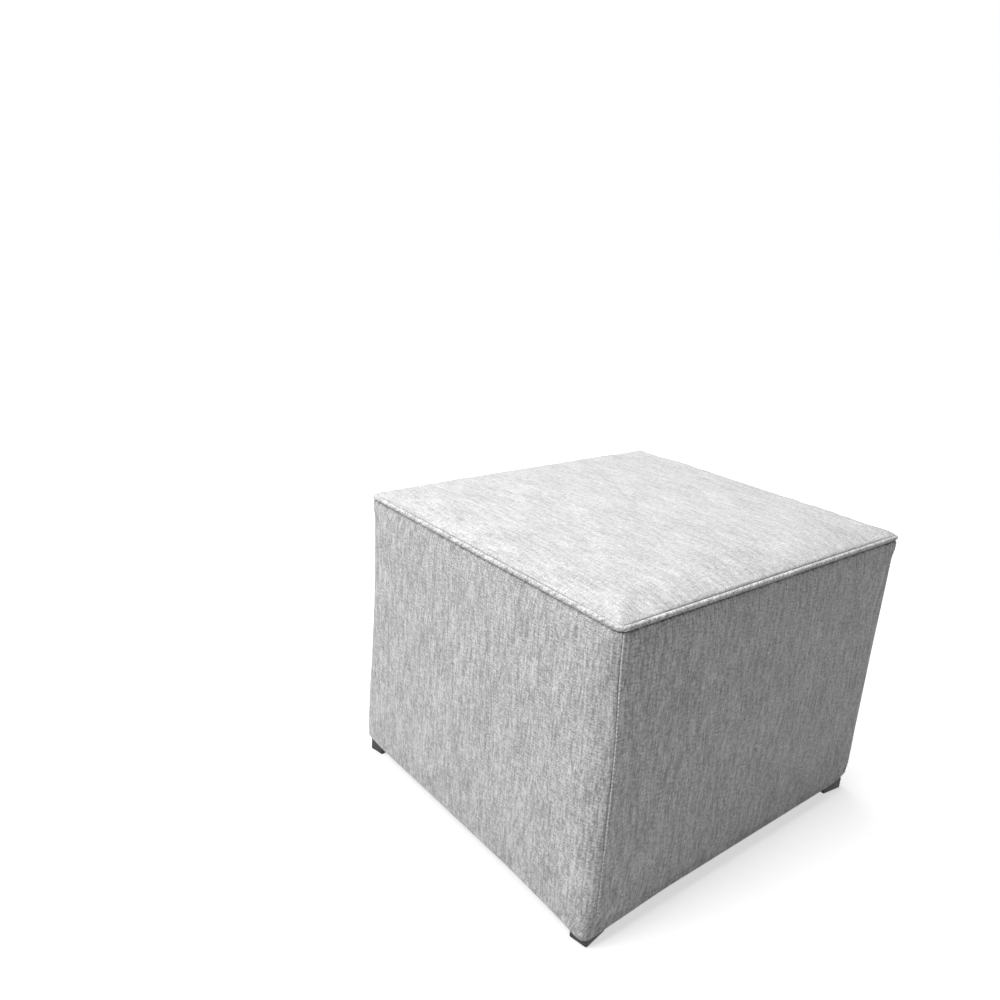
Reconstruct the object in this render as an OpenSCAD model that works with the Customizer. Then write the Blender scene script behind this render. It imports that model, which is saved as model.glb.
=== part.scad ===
// Upholstered box ottoman: a doweled wooden frame, sinuous springs, foam and wadding, a sewn fabric cover
// with a welt round the top, a dust cover and four plastic feet.
// Millimetres. +Z is up, the front is -Y, and the origin lies on the floor under the middle.
// Insets are measured inwards from the outer face of the side covers.

/* [Overall] */
// Width over the left and right covers
body_w = 500; // [440:1:600]
// Depth over the front and rear covers
body_d = 440; // [380:1:520]
// Height of the seam under the welt, above the floor
seam_h = 365; // [330:1:430]
// Height of the feet
foot_h = 15; // [12:0.5:30]
// Plan radius of the upright corners
corner_r = 10; // [10:0.5:16]

/* [Cover] */
// Thickness of the cover fabric with its backing
fabric_t = 1.5; // [1:0.1:2]
// Radius of the roll along the bottom edge of the cover
roll_r = 9; // [7:0.5:10]
// Width of the hem that is turned under the frame
hem_w = 34; // [30:1:36]
// Diameter of the welt over its fabric
welt_d = 5.5; // [4.5:0.25:6.5]
// Diameter of the cord inside the welt
welt_cord_d = 3.5; // [2.5:0.25:3.75]
// How far the welt stands out past the side covers
welt_stand = 1.2; // [0.5:0.1:2]
// Thickness of the welt's seam allowance
welt_flange_t = 1.2; // [0.8:0.1:1.6]
// Thickness of the dust cover
dust_t = 0.6; // [0.4:0.1:1]
// Inset of the dust cover's edge
dust_inset = 7; // [6:0.5:10]

/* [Crown] */
// Inset of the top cover's edge at the welt
crown_inset = 1; // [0.5:0.25:2]
// Height that the top cover gains in its rounded edge
edge_rise = 9; // [4:0.5:10]
// Width of that rounded edge
edge_roll = 16; // [8:1:20]
// How much less the edge rises at the corners
corner_drop = 3; // [0:0.5:4]
// Further height of the crown at the middle of the top
crown_rise = 5; // [3:0.5:12]

/* [Padding] */
// Thickness of the wadding on the sides
side_wad_t = 6; // [4:0.5:6]
// Thickness of the wadding over the seat foam
top_wad_t = 5; // [4:0.5:6]
// Thickness of the seat foam slab
slab_h = 50; // [40:1:70]
// Height of the crowned foam at its edge
crown_edge_h = 20; // [15:1:25]
// Thickness of the felt insulator sheet
felt_t = 3; // [2:0.5:4]

/* [Frame] */
// Thickness of the backing boards
board_t = 3; // [2:0.5:4]
// Side of the square corner posts
post_w = 40; // [36:1:48]
// Thickness of the rails
rail_t = 20; // [18:1:24]
// Height of the bottom rails
bottom_rail_h = 60; // [50:1:75]
// Height of the top rails
top_rail_h = 80; // [60:1:90]
// Diameter of the frame dowels
dowel_d = 10; // [8:0.5:12]
// Length of the frame dowels
dowel_l = 40; // [30:1:44]
// Distance between the two dowels of a joint
dowel_gap = 32; // [24:1:36]

/* [Springs] */
// Number of springs
spring_count = 4; // [3:1:4]
// Distance from the side rails to the middle of the outer springs
spring_margin = 72.5; // [60:0.5:90]
// Diameter of the spring wire
wire_d = 3.6; // [3:0.1:4]
// Width over the bends of a spring
spring_w = 48; // [40:1:49]
// Number of bars in a spring
bar_count = 17; // [15:2:19]
// Thickness of the clips' sheet steel
clip_t = 1.2; // [1:0.1:1.5]
// Width of a spring clip
clip_w = 18; // [14:1:20]
// Clearance of a clip round the wire
clip_gap = 0.25; // [0.15:0.05:0.4]
// Length of a clip's plate below the wire
clip_drop = 26; // [24:1:30]
// Diameter of the clip screws' shanks
clip_screw_d = 2.5; // [2:0.1:3]
// Length of the clip screws' shanks
clip_screw_l = 15; // [10:1:17]
// Diameter of the tie rods
rod_d = 3.5; // [3:0.1:4]
// Width of a tie clip
tie_w = 8; // [6:0.5:10]

/* [Feet] */
// Width of a foot, along the body's width
foot_w = 34; // [26:1:36]
// Depth of a foot
foot_d = 23; // [20:1:32]
// Radius of a foot's upright edges
foot_edge_r = 2; // [1:0.5:4]
// Inset of a foot from the cover
foot_inset = 5.5; // [4.5:0.5:6]
// How far the left feet are turned about their screws, in degrees
left_foot_turn = 10; // [-12:1:12]
// How far the right feet are turned about their screws, in degrees
right_foot_turn = -7; // [-12:1:12]
// Width of the rim that a foot stands on
foot_rim = 3; // [2:0.5:4]
// Depth of the hollow inside that rim
foot_hollow = 2; // [1:0.5:3]
// Diameter of the foot screws' shanks
foot_screw_d = 5; // [4:0.25:6]
// Diameter of the foot screws' heads
foot_head_d = 10; // [8:0.5:11]
// Height of the foot screws' heads
foot_head_h = 3.2; // [2.5:0.1:4]
// How far the foot screws reach into the posts
foot_screw_reach = 32; // [25:1:40]

/* [Hidden] */

// Colours
cover_grey = "#b9babb";
welt_grey = "#c3c4c5";
cord_white = "#e6e3da";
wood_tan = "#d2b48c";
board_brown = "#a9865b";
foam_cream = "#f0e6c8";
wadding_white = "#f2f2ee";
felt_grey = "#8b8a85";
steel_grey = "#9a9da1";
dust_black = "#2b2b2d";
foot_black = "#1f1f21";

// Curve resolution
$fn = 48;
// A cutter reaches this far past what it cuts
over = 1;

// Heights, from the floor up
dust_z = foot_h;
hem_z = dust_z + dust_t;
frame_z = hem_z + fabric_t;
// Top of the recess for a foot screw's head
head_floor = foot_h / 2;
// Play round that head
head_play = 1;
sew_gap = 0.2;
welt_r = welt_d / 2;
welt_z = seam_h + sew_gap + welt_r;
crown_z = welt_z + welt_r + sew_gap;
slab_top_z = crown_z - crown_edge_h;
felt_z = slab_top_z - slab_h;
seat_z = felt_z - felt_t;

// Insets of the layers
wadding_inset = fabric_t;
board_inset = wadding_inset + side_wad_t;
frame_inset = board_inset + board_t;
welt_inset = welt_r - welt_stand;

// Half sizes of the wooden frame, and of the space inside its rails
frame_hw = body_w / 2 - frame_inset;
frame_hd = body_d / 2 - frame_inset;
rail_hw = frame_hw - rail_t;
rail_hd = frame_hd - rail_t;
bottom_rail_mid = frame_z + bottom_rail_h / 2;
top_rail_mid = seat_z - top_rail_h / 2;
// The boards stay this far above the roll of the cover
board_lift = 2;

// Sides go round the body: 0 front, 1 right, 2 rear, 3 left
function side_turn(side) = 90 * side;
function across(side) = side % 2 == 0;
function side_run(side) = (across(side) ? body_w : body_d) - 2 * corner_r;
function side_out(side) = (across(side) ? body_d : body_w) / 2;
function frame_half_run(side) = across(side) ? frame_hw : frame_hd;
function frame_out(side) = across(side) ? frame_hd : frame_hw;

// Corners go round the body: 0 front left, 1 front right, 2 rear right, 3 rear left
function corner_sx(corner) = (corner == 1 || corner == 2) ? 1 : -1;
function corner_sy(corner) = corner >= 2 ? 1 : -1;

// Places children at the screw of a corner's foot
module at_foot(corner) {
    translate([
        corner_sx(corner) * (body_w / 2 - foot_inset - foot_w / 2),
        corner_sy(corner) * (body_d / 2 - foot_inset - foot_d / 2),
        0
    ]) children();
}

module foot_bores() {
    for (corner = [0:3])
        at_foot(corner) translate([0, 0, dust_z - over])
            cylinder(h = frame_z - dust_z + 2 * over, d = foot_screw_d);
}

// Cover and padding, as profiles carried round the body

// One side's share of a profile: the straight stretch, mitred inside the corner centres, and on the left and
// right sides the corner at each end too, so that the upright seams lie just on the front and rear faces.
// The profile's x is the distance from the cover's outer face, negative inwards, and its y is the height.
module along_side(side) {
    run = side_run(side);
    out = side_out(side);
    deep = 2 * hem_w;
    rotate([0, 0, side_turn(side)]) {
        intersection() {
            translate([run / 2, -out, 0]) rotate([90, 0, -90]) linear_extrude(run) children();
            linear_extrude(2 * seam_h) polygon([
                [-run / 2, -out - over], [run / 2, -out - over],
                [run / 2, -out + corner_r], [run / 2 - deep, -out + corner_r + deep],
                [deep - run / 2, -out + corner_r + deep], [-run / 2, -out + corner_r]
            ]);
        }
        if (!across(side)) for (end = [0, 1]) mirror([end, 0, 0])
            translate([run / 2, corner_r - out, 0]) rotate([0, 0, -90])
                rotate_extrude(angle = 90) corner_profile() children();
    }
}

// A whole ring of a profile that stays outside the corner centres
module round_body() {
    for (side = [0:3]) rotate([0, 0, side_turn(side)]) {
        translate([side_run(side) / 2, -side_out(side), 0]) rotate([90, 0, -90])
            linear_extrude(side_run(side)) children();
        translate([side_run(side) / 2, corner_r - side_out(side), 0]) rotate([0, 0, -90])
            rotate_extrude(angle = 90) corner_profile() children();
    }
}

// The part of a profile that turns about a corner's centre
module corner_profile() {
    intersection() {
        translate([corner_r, 0]) children();
        square([corner_r + welt_d, 2 * seam_h]);
    }
}

module cover_profile() {
    translate([-fabric_t, hem_z + roll_r]) square([fabric_t, seam_h - hem_z - roll_r]);
    translate([-roll_r, hem_z + roll_r]) intersection() {
        difference() {
            circle(roll_r);
            circle(roll_r - fabric_t);
        }
        translate([0, -roll_r]) square(roll_r);
    }
    translate([-hem_w, hem_z]) square([hem_w - roll_r, fabric_t]);
}

module wadding_profile() {
    inner_r = roll_r - fabric_t;
    difference() {
        translate([-board_inset, frame_z]) square([side_wad_t, seam_h - frame_z]);
        translate([-roll_r, frame_z - over]) difference() {
            square([inner_r + over, inner_r + over]);
            translate([0, inner_r + over]) circle(inner_r);
        }
    }
}

module side_cover(side) {
    color(cover_grey) difference() {
        along_side(side) cover_profile();
        foot_bores();
    }
}

module side_wadding(side) {
    color(wadding_white) along_side(side) wadding_profile();
}

module welt_cover() {
    color(welt_grey) round_body() difference() {
        union() {
            translate([-welt_inset, welt_z]) circle(welt_r);
            translate([sew_gap - board_inset, welt_z - welt_flange_t / 2])
                square([board_inset - welt_inset - sew_gap, welt_flange_t]);
        }
        translate([-welt_inset, welt_z]) circle(d = welt_cord_d);
    }
}

module welt_cord() {
    color(cord_white) round_body() translate([-welt_inset, welt_z]) circle(d = welt_cord_d);
}

// Crowned top, in layers

crown_h = edge_rise + crown_rise;
corner_steps = 4;
side_steps = 6;
ring_count = 9;

// Points round a rounded rectangle at an inset, anticlockwise from the rear right corner
function plan_corner(q, inset, a) =
    let (r = corner_r - inset)
    [
        ((q == 0 || q == 3) ? 1 : -1) * (body_w / 2 - corner_r) + r * cos(a),
        (q < 2 ? 1 : -1) * (body_d / 2 - corner_r) + r * sin(a)
    ];
function plan_points(inset) = [
    for (q = [0:3])
        let (last = plan_corner(q, inset, 90 * (q + 1)), next = plan_corner((q + 1) % 4, inset, 90 * (q + 1)))
        each concat(
            [for (k = [0:corner_steps]) plan_corner(q, inset, 90 * (q + k / corner_steps))],
            [for (k = [1:side_steps - 1]) last + (next - last) * k / side_steps]
        )
];
plan_count = 4 * (corner_steps + side_steps);

// Rings stand closer together near the edge, where the surface rolls over
function ring_scale(j) = 1 - pow(j / ring_count, 2);
function roll_share(edge) = edge >= edge_roll ? 1 : sqrt(1 - pow(1 - edge / edge_roll, 2));
function corner_share(x, y) = pow(4 * abs(x * y) / (body_w * body_d), 4);
function crown_at(x, y, s) =
    (edge_rise - corner_drop * corner_share(x, y)) * roll_share((1 - s) * body_d / 2) + crown_rise * (1 - s * s);

// The surface of a layer that lies the given depth below the top cover's face
function layer_points(depth) =
    let (edge = plan_points(crown_inset + depth), share = (crown_h - depth) / crown_h)
    concat(
        [for (j = [0:ring_count - 1])
            let (s = ring_scale(j))
            each [for (p = edge) [p.x * s, p.y * s, crown_z + share * crown_at(p.x * s, p.y * s, s)]]
        ],
        [[0, 0, crown_z + share * crown_h]]
    );
layer_size = ring_count * plan_count + 1;
function layer_faces(base, up) =
    let (n = plan_count, tip = base + layer_size - 1)
    [for (j = [0:ring_count - 1]) for (i = [0:n - 1])
        let (a = base + j * n + i, b = base + j * n + (i + 1) % n, top = j == ring_count - 1)
        let (c = top ? tip : b + n, d = top ? tip : a + n)
        each concat([up ? [a, c, b] : [a, b, c]], top ? [] : [up ? [a, d, c] : [a, c, d]])
    ];

// A skin between two depths below the face of the top cover
module crown_layer(outer, inner) {
    n = plan_count;
    polyhedron(
        points = concat(layer_points(outer), layer_points(inner)),
        faces = concat(
            layer_faces(0, true),
            layer_faces(layer_size, false),
            [for (i = [0:n - 1]) each [
                [i, (i + 1) % n, layer_size + (i + 1) % n],
                [i, layer_size + (i + 1) % n, layer_size + i]
            ]]
        )
    );
}

module top_cover() {
    color(cover_grey) crown_layer(0, fabric_t);
}

module top_wadding() {
    color(wadding_white) crown_layer(fabric_t, fabric_t + top_wad_t);
}

module crown_foam() {
    depth = fabric_t + top_wad_t;
    n = plan_count;
    base = [for (p = plan_points(crown_inset + depth)) [p.x, p.y, slab_top_z]];
    middle = layer_size + n;
    color(foam_cream) polyhedron(
        points = concat(layer_points(depth), base, [[0, 0, slab_top_z]]),
        faces = concat(
            layer_faces(0, true),
            [for (i = [0:n - 1]) each [
                [i, (i + 1) % n, layer_size + (i + 1) % n],
                [i, layer_size + (i + 1) % n, layer_size + i],
                [layer_size + i, layer_size + (i + 1) % n, middle]
            ]]
        )
    );
}

// Flat seat layers on the frame

module rounded_plan(inset) {
    r = corner_r - inset;
    w = body_w - 2 * inset;
    d = body_d - 2 * inset;
    square([w - 2 * r, d], center = true);
    square([w, d - 2 * r], center = true);
    for (sx = [-1, 1]) for (sy = [-1, 1])
        translate([sx * (w / 2 - r), sy * (d / 2 - r)]) circle(r);
}

module seat_foam() {
    color(foam_cream) translate([0, 0, felt_z]) linear_extrude(slab_h)
        rounded_plan(crown_inset + fabric_t + top_wad_t);
}

module felt_insulator() {
    color(felt_grey) translate([-frame_hw, -frame_hd, seat_z]) cube([2 * frame_hw, 2 * frame_hd, felt_t]);
}

// Springs: bars across, joined by half turns, drawn flat between the front and rear top rails

wire_r = wire_d / 2;
hook_r = wire_r + clip_gap;
// Places in a spring are whole fiftieths of a millimetre, so that bars and bends meet end to end
function snap(x) = floor(50 * x) / 50;
bar_pitch = snap(2 * (rail_hd - clip_t - hook_r) / (bar_count - 1));
end_bar_y = bar_pitch * (bar_count - 1) / 2;
// The hooks stay this far below the felt
hook_drop = 0.2;
bar_z = snap(seat_z - hook_drop - clip_t - hook_r);
bend_r = bar_pitch / 2;
bar_half = snap(spring_w / 2 - wire_r - bend_r);

function bar_y(i) = i * bar_pitch - end_bar_y;
spring_pitch = snap(2 * (rail_hw - spring_margin) / (spring_count - 1));
function spring_x(k) = (k - (spring_count - 1) / 2) * spring_pitch;

module sinuous_spring(k) {
    if (k < spring_count) color(steel_grey) translate([spring_x(k), 0, bar_z]) {
        for (i = [0:bar_count - 1])
            translate([-bar_half, bar_y(i), 0]) rotate([0, 90, 0]) cylinder(h = 2 * bar_half, r = wire_r);
        for (i = [0:bar_count - 2])
            translate([0, bar_y(i + 0.5), 0]) rotate([0, 0, 180 * (i % 2)]) translate([bar_half, 0, 0])
                rotate([0, 0, -90]) rotate_extrude(angle = 180) translate([bend_r, 0]) circle(wire_r);
    }
}

// A clip's plate lies on the rail's inner face, and its hook curls over the end bar
module clip_profile() {
    outer_r = hook_r + clip_t;
    difference() {
        circle(outer_r);
        circle(hook_r);
        // the mouth, below the wire on the outer side
        rotate(-110) square([outer_r + over, outer_r + over]);
    }
    translate([hook_r, -clip_drop]) square([clip_t, clip_drop]);
}

// Screw heights below the end bar, and the head's size
clip_screw_drops = [9, 19];
clip_head_h = 1.2;
clip_head_d = 2.2 * clip_screw_d;

module at_spring_ends() {
    for (k = [0:spring_count - 1]) for (end = [0, 1])
        rotate([0, 0, 180 * end]) translate([spring_x(k), 0, 0]) children();
}

module clip_screw_bores(d) {
    at_spring_ends() for (drop = clip_screw_drops)
        translate([0, rail_hd - clip_t - over, bar_z - drop]) rotate([-90, 0, 0])
            cylinder(h = clip_t + over + clip_screw_l, d = d);
}

module spring_clips() {
    color(steel_grey) difference() {
        at_spring_ends() translate([-clip_w / 2, end_bar_y, bar_z]) rotate([90, 0, 90])
            linear_extrude(clip_w) clip_profile();
        clip_screw_bores(clip_screw_d);
    }
}

module clip_screws() {
    color(steel_grey) at_spring_ends() for (drop = clip_screw_drops)
        translate([0, rail_hd - clip_t, bar_z - drop]) rotate([-90, 0, 0]) {
            cylinder(h = clip_t + clip_screw_l, d = clip_screw_d);
            translate([0, 0, -clip_head_h]) cylinder(h = clip_head_h, d = clip_head_d);
        }
}

// Tie rods lie under the same bars of every spring, banded to them
rod_bars = [5, bar_count - 6];
rod_half = (spring_count - 1) / 2 * spring_pitch + bar_half;
rod_drop = wire_r + rod_d / 2 + clip_gap;
tie_t = clip_t / 2;

module tie_rods() {
    color(steel_grey) for (bar = rod_bars)
        translate([-rod_half, bar_y(bar), bar_z - rod_drop]) rotate([0, 90, 0])
            cylinder(h = 2 * rod_half, d = rod_d);
}

module tie_band_profile(wall) {
    circle(hook_r + wall);
    translate([-hook_r - wall, -rod_drop]) square([2 * (hook_r + wall), rod_drop]);
    translate([0, -rod_drop]) circle(hook_r + wall);
}

module tie_clips() {
    color(steel_grey) for (bar = rod_bars) for (k = [0:spring_count - 1])
        translate([spring_x(k) - tie_w / 2, bar_y(bar), bar_z]) rotate([90, 0, 90])
            linear_extrude(tie_w) difference() {
                tie_band_profile(tie_t);
                tie_band_profile(0);
            }
}

// Wooden frame

post_mid = post_w / 2;

module corner_post(corner) {
    sx = corner_sx(corner);
    sy = corner_sy(corner);
    color(wood_tan) difference() {
        translate([sx * (frame_hw - post_mid), sy * (frame_hd - post_mid), (frame_z + seat_z) / 2])
            cube([post_w, post_w, seat_z - frame_z], center = true);
        dowels();
        at_foot(corner) translate([0, 0, frame_z - over])
            cylinder(h = foot_screw_reach + over, d = foot_screw_d);
    }
}

module rail(side, mid, height) {
    run = 2 * (frame_half_run(side) - post_w);
    color(wood_tan) difference() {
        rotate([0, 0, side_turn(side)]) translate([0, rail_t / 2 - frame_out(side), mid])
            cube([run, rail_t, height], center = true);
        dowels();
        clip_screw_bores(clip_screw_d);
    }
}

// Two dowels at each end of each rail, half in the rail and half in the post
module dowels() {
    for (side = [0:3]) rotate([0, 0, side_turn(side)])
        for (end = [-1, 1]) for (mid = [bottom_rail_mid, top_rail_mid]) for (row = [-1, 1])
            translate([
                end * (frame_half_run(side) - post_w), rail_t / 2 - frame_out(side), mid + row * dowel_gap / 2
            ]) rotate([0, 90, 0]) cylinder(h = dowel_l, d = dowel_d, center = true);
}

module frame_dowels() {
    color(wood_tan) dowels();
}

// A board ends with the frame, or where the body's corner starts to curve
module backing_board(side) {
    run = min(side_run(side), 2 * frame_half_run(side));
    height = seat_z - frame_z - board_lift;
    color(board_brown) rotate([0, 0, side_turn(side)])
        translate([0, -frame_out(side) - board_t / 2, frame_z + board_lift + height / 2])
            cube([run, board_t, height], center = true);
}

// Underside

module dust_cover() {
    color(dust_black) difference() {
        translate([0, 0, dust_z]) linear_extrude(dust_t) rounded_plan(dust_inset);
        foot_bores();
    }
}

module rounded_block(w, d, r) {
    square([w - 2 * r, d], center = true);
    square([w, d - 2 * r], center = true);
    for (sx = [-1, 1]) for (sy = [-1, 1])
        translate([sx * (w / 2 - r), sy * (d / 2 - r)]) circle(r);
}

// A moulded block with a rim to stand on and a recess for its screw's head
module foot(corner) {
    turn = corner_sx(corner) < 0 ? left_foot_turn : right_foot_turn;
    color(foot_black) at_foot(corner) rotate([0, 0, turn]) difference() {
        linear_extrude(foot_h) rounded_block(foot_w, foot_d, foot_edge_r);
        translate([0, 0, -over]) linear_extrude(foot_hollow + over)
            rounded_block(foot_w - 2 * foot_rim, foot_d - 2 * foot_rim, foot_edge_r);
        translate([0, 0, -over]) cylinder(h = head_floor + over, d = foot_head_d + head_play);
        cylinder(h = foot_h + over, d = foot_screw_d);
    }
}

module foot_screws() {
    color(steel_grey) for (corner = [0:3]) at_foot(corner) {
        translate([0, 0, head_floor])
            cylinder(h = frame_z - head_floor + foot_screw_reach, d = foot_screw_d);
        translate([0, 0, head_floor - foot_head_h]) cylinder(h = foot_head_h, d = foot_head_d);
    }
}

corner_post(0);  // corner_post_front_left
corner_post(1);  // corner_post_front_right
corner_post(2);  // corner_post_rear_right
corner_post(3);  // corner_post_rear_left
rail(0, bottom_rail_mid, bottom_rail_h);  // bottom_rail_front
rail(1, bottom_rail_mid, bottom_rail_h);  // bottom_rail_right
rail(2, bottom_rail_mid, bottom_rail_h);  // bottom_rail_rear
rail(3, bottom_rail_mid, bottom_rail_h);  // bottom_rail_left
rail(0, top_rail_mid, top_rail_h);  // top_rail_front
rail(1, top_rail_mid, top_rail_h);  // top_rail_right
rail(2, top_rail_mid, top_rail_h);  // top_rail_rear
rail(3, top_rail_mid, top_rail_h);  // top_rail_left
frame_dowels();
backing_board(0);  // backing_board_front
backing_board(1);  // backing_board_right
backing_board(2);  // backing_board_rear
backing_board(3);  // backing_board_left
sinuous_spring(0);  // sinuous_spring_1
sinuous_spring(1);  // sinuous_spring_2
sinuous_spring(2);  // sinuous_spring_3
sinuous_spring(3);  // sinuous_spring_4
spring_clips();
clip_screws();
tie_rods();
tie_clips();
felt_insulator();
seat_foam();
crown_foam();
top_wadding();
side_wadding(0);  // side_wadding_front
side_wadding(1);  // side_wadding_right
side_wadding(2);  // side_wadding_rear
side_wadding(3);  // side_wadding_left
top_cover();
side_cover(0);  // side_cover_front
side_cover(1);  // side_cover_right
side_cover(2);  // side_cover_rear
side_cover(3);  // side_cover_left
welt_cover();
welt_cord();
dust_cover();
foot(0);  // foot_front_left
foot(1);  // foot_front_right
foot(2);  // foot_rear_right
foot(3);  // foot_rear_left
foot_screws();
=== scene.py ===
# A box ottoman in heathered grey cloth: cover, welt, stitching, underside, feet and the stuffing inside.
import math

import bmesh
import bpy
from mathutils import Matrix, Vector, noise
from mathutils.bvhtree import BVHTree


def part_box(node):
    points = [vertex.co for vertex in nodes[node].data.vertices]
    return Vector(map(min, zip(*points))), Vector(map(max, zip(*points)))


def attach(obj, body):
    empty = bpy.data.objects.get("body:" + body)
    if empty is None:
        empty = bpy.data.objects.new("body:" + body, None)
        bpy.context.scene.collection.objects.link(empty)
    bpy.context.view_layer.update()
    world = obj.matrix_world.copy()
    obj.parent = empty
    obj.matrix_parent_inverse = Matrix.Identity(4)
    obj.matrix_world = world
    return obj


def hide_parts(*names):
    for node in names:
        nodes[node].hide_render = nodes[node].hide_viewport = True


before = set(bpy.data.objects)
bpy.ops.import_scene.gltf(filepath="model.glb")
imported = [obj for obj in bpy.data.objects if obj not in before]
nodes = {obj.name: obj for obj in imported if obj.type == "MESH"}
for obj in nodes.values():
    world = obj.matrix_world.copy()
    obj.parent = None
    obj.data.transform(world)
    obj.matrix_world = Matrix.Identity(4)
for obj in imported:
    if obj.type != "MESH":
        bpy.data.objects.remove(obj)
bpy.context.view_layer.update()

# Sizes taken from the frame, in metres
frontLow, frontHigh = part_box("side_cover_front")
rightHigh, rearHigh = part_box("side_cover_right")[1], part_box("side_cover_rear")[1]
body = {
    "halfWidth": rightHigh.x,
    "halfDepth": rearHigh.y,
    "cornerRadius": rightHigh.x - frontHigh.x,
    "hemHeight": frontLow.z,
    "seamHeight": frontHigh.z,
    "topHeight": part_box("top_cover")[1].z,
    "leastRadius": 0.0006,  # of a corner far inside the plan
}


def smooth(share):
    share = min(max(share, 0.0), 1.0)
    return share * share * (3 - 2 * share)


# The plan of the body: a rounded rectangle, gone round anticlockwise from the left end of the front side

halves = [body["halfWidth"], body["halfDepth"]]
centreX, centreY = (half - body["cornerRadius"] for half in halves)
straights = [2 * centreX, 2 * centreY]
cornerLength = body["cornerRadius"] * math.pi / 2
roundLength = 2 * sum(straights) + 4 * cornerLength


def sideStart(side):
    # where a side's straight starts, 0 front, 1 right, 2 rear, 3 left
    return sum(straights[k % 2] + cornerLength for k in range(side))


def planPlace(along, inset=0.0, rounder=0.0):
    # place and outward direction at a distance along the plan, whose corners' radius is larger by rounder
    along = (along - rounder) % roundLength
    radius = max(body["cornerRadius"] + rounder - inset, body["leastRadius"])
    corner = cornerLength + 2 * rounder
    for side in range(4):
        turn = Matrix.Rotation(side * math.pi / 2, 2)
        straight = straights[side % 2] - 2 * rounder
        half, out = halves[side % 2] - inset, halves[1 - side % 2] - inset
        if along <= straight:
            share = along / straight * 2 - 1
            return turn @ Vector((share * (half - radius), -out)), turn @ Vector((0, -1))
        along -= straight
        if along <= corner:
            angle = along / corner * math.pi / 2
            outward = Vector((math.sin(angle), -math.cos(angle)))
            centre = Vector((half - radius, radius - out))
            return turn @ (centre + radius * outward), turn @ outward
        along -= corner
    return planPlace(rounder, inset, rounder)


# Meshes

def meshFrom(work, name):
    mesh = bpy.data.meshes.new(name)
    work.to_mesh(mesh)
    work.free()
    return mesh


def addObject(name, data):
    made = bpy.data.objects.new(name, data)
    bpy.context.scene.collection.objects.link(made)
    return made


def finishObject(name, mesh, material, sharp=None):
    # edges sharper than this many degrees stay sharp in the shading
    piece = addObject(name, mesh)
    mesh.materials.clear()
    mesh.materials.append(material)
    mesh.polygons.foreach_set("use_smooth", [True] * len(mesh.polygons))
    if sharp:
        mesh.set_sharp_from_angle(angle=math.radians(sharp))
    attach(piece, "root")
    return piece


def clothGrid(columns, rows, place, shape="sheet"):
    # a grid bent by place(column, row), which gives a point and the cloth's own u and v in metres:
    # a sheet that faces up, a wall that faces sideways, or a tube that closes on itself
    work = bmesh.new()
    bmesh.ops.create_grid(work, x_segments=len(columns) - 1, y_segments=len(rows) - 1, size=0.5)
    uvLayer = work.loops.layers.uv.new("cloth")
    placed = {}
    for index, vertex in enumerate(work.verts):
        row, column = divmod(index, len(columns))
        vertex.co, placed[vertex] = place(columns[column], rows[row])
    for face in work.faces:
        for loop in face.loops:
            loop[uvLayer].uv = placed[loop.vert]
    if shape == "tube":
        bmesh.ops.remove_doubles(work, verts=work.verts, dist=1e-6)
        bmesh.ops.recalc_face_normals(work, faces=work.faces)
        return meshFrom(work, "grid")
    mesh = meshFrom(work, "grid")
    facing = 0.0
    for face in mesh.polygons:
        outward = (0, 0, 1) if shape == "sheet" else (*face.center.xy, 0)
        facing += face.normal.dot(outward) * face.area
    if facing < 0:
        mesh.flip_normals()
    return mesh


def spread(start, end, step):
    # even steps of about this size
    count = max(1, round(abs(end - start) / step))
    return [start + (end - start) * k / count for k in range(count + 1)]


def easeEdges(work, degrees, width):
    # bevels the edges that are sharper than this
    sharp = [edge for edge in work.edges
             if len(edge.link_faces) == 2 and edge.calc_face_angle() > math.radians(degrees)]
    bmesh.ops.bevel(work, geom=sharp, offset=width, offset_type="OFFSET", affect="EDGES", segments=2,
                    profile=0.5, material=-1, clamp_overlap=True)


def surfaceTree(piece):
    shape = bmesh.new()
    shape.from_mesh(piece.data)
    tree = BVHTree.FromBMesh(shape)
    shape.free()
    return tree


def turnedOut(outward):
    # turns a small shape so that its y points outwards
    out, up = Vector((*outward.xy, 0)), Vector((0, 0, 1))
    return Matrix((up.cross(out), out, up)).transposed().to_4x4()


swelling = {
    "steps": 20,
    "settings": {
        "quality": 6, "mass": 0.25, "vertex_group_mass": "held",
        "tension_stiffness": 25, "compression_stiffness": 25, "shear_stiffness": 12, "bending_stiffness": 3,
        "use_pressure": True, "uniform_pressure_force": 3.0,
        "shrink_min": -0.004,  # it would lie this share larger than its panel
    },
}


def puff(piece, held, cap):
    # swells a pinned panel with cloth simulation, and caps how far a point may move
    group = piece.vertex_groups.new(name="held")
    for vertex in piece.data.vertices:
        group.add([vertex.index], held(vertex.index), "REPLACE")
    before = [vertex.co.copy() for vertex in piece.data.vertices]
    modifier = piece.modifiers.new("swell", "CLOTH")
    for label, value in swelling["settings"].items():
        setattr(modifier.settings, label, value)
    modifier.settings.effector_weights.gravity = 0
    modifier.collision_settings.use_collision = False
    modifier.point_cache.frame_start = 1
    modifier.point_cache.frame_end = swelling["steps"]
    for step in range(swelling["steps"]):
        bpy.context.scene.frame_set(step + 1)
    bpy.context.view_layer.objects.active = piece
    bpy.ops.object.modifier_apply(modifier="swell")
    bpy.context.scene.frame_set(1)
    piece.vertex_groups.clear()
    for vertex, start in zip(piece.data.vertices, before):
        moved = vertex.co - start
        if moved.length > cap:
            vertex.co = start + moved * (cap / moved.length)


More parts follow.
